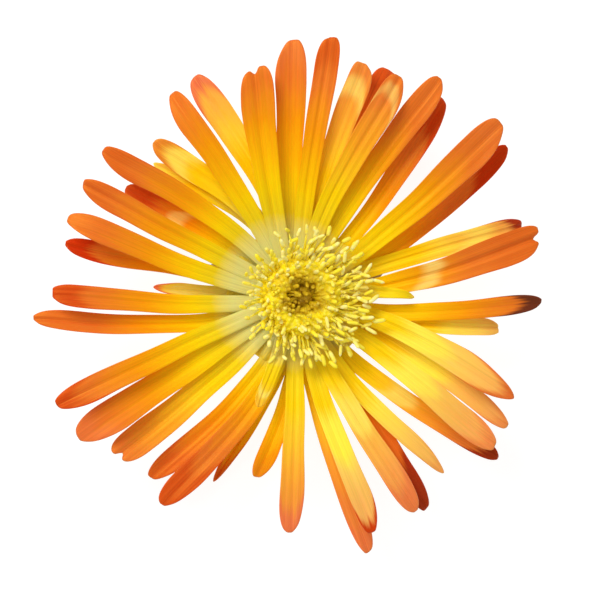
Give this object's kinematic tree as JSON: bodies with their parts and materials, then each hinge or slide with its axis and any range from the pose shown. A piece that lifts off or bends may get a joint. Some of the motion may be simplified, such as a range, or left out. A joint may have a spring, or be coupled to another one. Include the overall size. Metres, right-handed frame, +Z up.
{
  "type": "ice plant flower",
  "caption": "Daisy-like open bloom with many narrow petals at several levels round a tuft of stamens, on a fleshy calyx with a flat foot.",
  "frame": {"origin": "middle of the flat foot under the calyx, on the bloom's axis", "axes": "+Z up along the bloom's axis, from the foot to the stamens; +X to the right and +Y to the top of the bloom as pictured"},
  "size_m": [0.0512, 0.0519, 0.0131],
  "materials": {
    "calyx": "fleshy green skin with fine glistening bladders",
    "petal": "silky, yellow towards the middle and red-orange at the tips",
    "stamen": "powdery yellow",
    "pistil": "moist olive"
  },
  "bodies": {
    "root": {"calyx": "calyx", "petals": "petal", "stamens": "stamen", "pistil": "pistil"}
  },
  "joints": []
}
